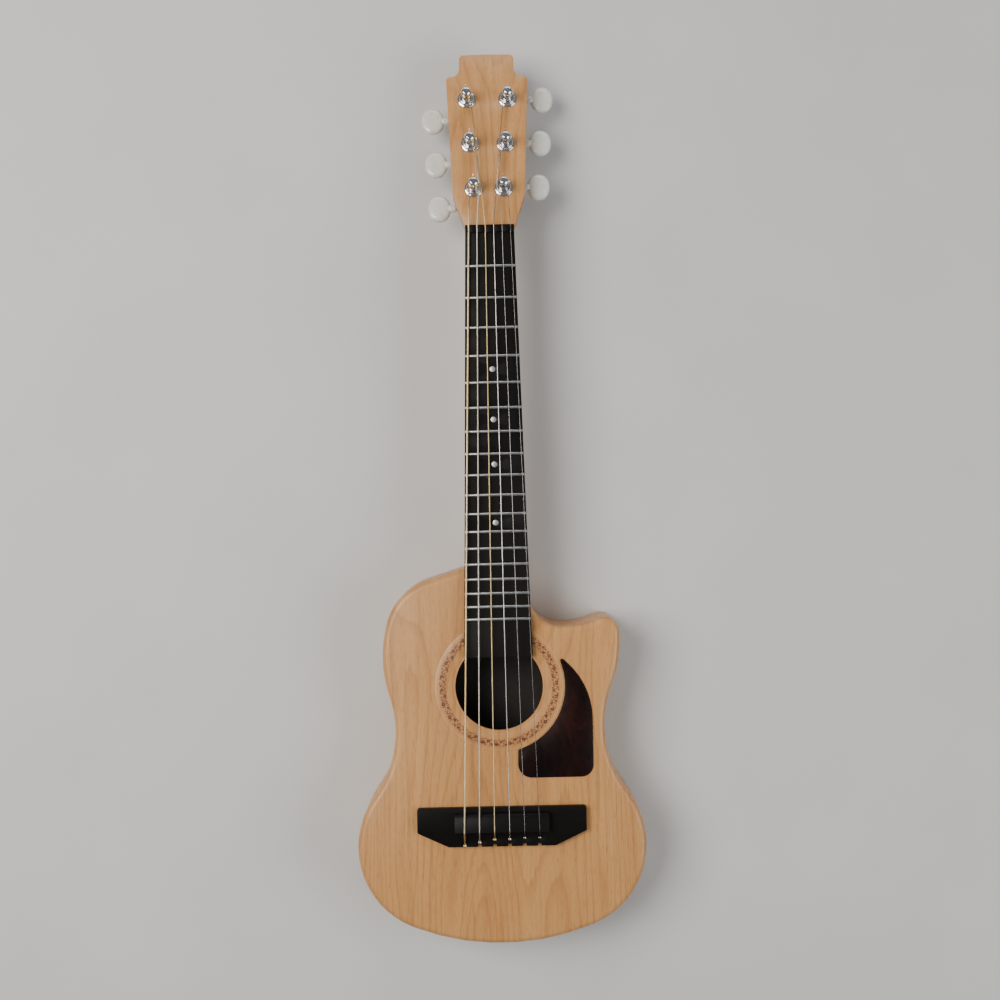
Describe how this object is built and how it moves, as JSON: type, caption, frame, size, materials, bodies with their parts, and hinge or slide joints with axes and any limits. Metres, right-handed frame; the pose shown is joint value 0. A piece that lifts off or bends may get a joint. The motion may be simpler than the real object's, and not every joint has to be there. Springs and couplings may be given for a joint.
{
  "type": "toy guitar",
  "caption": "Unpowered toy guitar with a hollow cutaway body, fretted neck, tilted headstock, taut strings and worm-geared tuning machines that turn.",
  "frame": {"origin": "centre of the bounding box in plan, on the flat back the guitar lies on", "axes": "+X to the treble side, where the cutaway and pickguard are; +Y towards the headstock; +Z out of the soundboard"},
  "size_m": [0.189, 0.586, 0.058],
  "materials": {
    "wood_print": "pale straight-grained wood print under a satin clear coat",
    "black_plastic": "black, slightly satin",
    "fret_steel": "dull silver",
    "silver_foil": "satin silver dots",
    "rosette_print": "pale ring with a band of small brown floral specks",
    "dark_tortoise": "very dark red-brown, polished",
    "plated_steel": "nickel plated sheet and wire",
    "chrome": "bright chrome plate",
    "bronze_wire": "bronze-wound wire",
    "steel_wire": "plain steel wire",
    "brass": "machined brass",
    "pearl_plastic": "off-white pearl, polished"
  },
  "bodies": {
    "guitar": {"front_shell": "wood_print", "back_shell": "wood_print", "neck": "wood_print", "headstock_face": "wood_print", "fingerboard": "black_plastic", "frets": "fret_steel", "position_dots": "silver_foil", "nut": "black_plastic", "bridge": "black_plastic", "rosette": "rosette_print", "pickguard": "dark_tortoise", "tuner_plates": "plated_steel", "bushings": "chrome", "tuner_screws": "plated_steel", "body_screws": "plated_steel", "bridge_screws": "plated_steel", "string_1": "bronze_wire", "string_2": "bronze_wire", "string_3": "bronze_wire", "string_4": "steel_wire", "string_5": "steel_wire", "string_6": "steel_wire"},
    "string_post_1": {"post_1": "chrome", "winding_1": "bronze_wire", "worm_wheel_1": "brass", "wheel_screw_1": "plated_steel"},
    "string_post_2": {"post_2": "chrome", "winding_2": "bronze_wire", "worm_wheel_2": "brass", "wheel_screw_2": "plated_steel"},
    "string_post_3": {"post_3": "chrome", "winding_3": "bronze_wire", "worm_wheel_3": "brass", "wheel_screw_3": "plated_steel"},
    "string_post_4": {"post_4": "chrome", "winding_4": "steel_wire", "worm_wheel_4": "brass", "wheel_screw_4": "plated_steel"},
    "string_post_5": {"post_5": "chrome", "winding_5": "steel_wire", "worm_wheel_5": "brass", "wheel_screw_5": "plated_steel"},
    "string_post_6": {"post_6": "chrome", "winding_6": "steel_wire", "worm_wheel_6": "brass", "wheel_screw_6": "plated_steel"},
    "tuner_knob_1": {"worm_1": "plated_steel", "knob_1": "pearl_plastic"},
    "tuner_knob_2": {"worm_2": "plated_steel", "knob_2": "pearl_plastic"},
    "tuner_knob_3": {"worm_3": "plated_steel", "knob_3": "pearl_plastic"},
    "tuner_knob_4": {"worm_4": "plated_steel", "knob_4": "pearl_plastic"},
    "tuner_knob_5": {"worm_5": "plated_steel", "knob_5": "pearl_plastic"},
    "tuner_knob_6": {"worm_6": "plated_steel", "knob_6": "pearl_plastic"}
  },
  "joints": [
    {"name": "knob_turn_1", "type": "hinge", "parent": "guitar", "child": "tuner_knob_1", "pos_m": [-0.0098, 0.19098, 0.02974], "axis": [-1, 0, 0], "continuous": true},
    {"name": "knob_turn_2", "type": "hinge", "parent": "guitar", "child": "tuner_knob_2", "pos_m": [-0.01165, 0.2216, 0.0249], "axis": [-1, 0, 0], "continuous": true},
    {"name": "knob_turn_3", "type": "hinge", "parent": "guitar", "child": "tuner_knob_3", "pos_m": [-0.0135, 0.25222, 0.02005], "axis": [-1, 0, 0], "continuous": true},
    {"name": "knob_turn_4", "type": "hinge", "parent": "guitar", "child": "tuner_knob_4", "pos_m": [0.0135, 0.26605, 0.01785], "axis": [1, 0, 0], "continuous": true},
    {"name": "knob_turn_5", "type": "hinge", "parent": "guitar", "child": "tuner_knob_5", "pos_m": [0.01165, 0.23543, 0.0227], "axis": [1, 0, 0], "continuous": true},
    {"name": "knob_turn_6", "type": "hinge", "parent": "guitar", "child": "tuner_knob_6", "pos_m": [0.0098, 0.20481, 0.02755], "axis": [1, 0, 0], "continuous": true},
    {"name": "post_turn_1", "type": "hinge", "parent": "guitar", "child": "string_post_1", "pos_m": [-0.0098, 0.20048, 0.045], "axis": [0, 0.1564, 0.9877], "continuous": true},
    {"name": "post_turn_2", "type": "hinge", "parent": "guitar", "child": "string_post_2", "pos_m": [-0.01165, 0.2311, 0.04015], "axis": [0, 0.1564, 0.9877], "continuous": true},
    {"name": "post_turn_3", "type": "hinge", "parent": "guitar", "child": "string_post_3", "pos_m": [-0.0135, 0.26172, 0.0353], "axis": [0, 0.1564, 0.9877], "continuous": true},
    {"name": "post_turn_4", "type": "hinge", "parent": "guitar", "child": "string_post_4", "pos_m": [0.0135, 0.26172, 0.0353], "axis": [0, 0.1564, 0.9877], "continuous": true},
    {"name": "post_turn_5", "type": "hinge", "parent": "guitar", "child": "string_post_5", "pos_m": [0.01165, 0.2311, 0.04015], "axis": [0, 0.1564, 0.9877], "continuous": true},
    {"name": "post_turn_6", "type": "hinge", "parent": "guitar", "child": "string_post_6", "pos_m": [0.0098, 0.20048, 0.045], "axis": [0, 0.1564, 0.9877], "continuous": true}
  ],
  "couplings": [
    {"joint": "post_turn_1", "follows": "knob_turn_1", "ratio": 0.083333},
    {"joint": "post_turn_2", "follows": "knob_turn_2", "ratio": 0.083333},
    {"joint": "post_turn_3", "follows": "knob_turn_3", "ratio": 0.083333},
    {"joint": "post_turn_4", "follows": "knob_turn_4", "ratio": 0.083333},
    {"joint": "post_turn_5", "follows": "knob_turn_5", "ratio": 0.083333},
    {"joint": "post_turn_6", "follows": "knob_turn_6", "ratio": 0.083333}
  ]
}
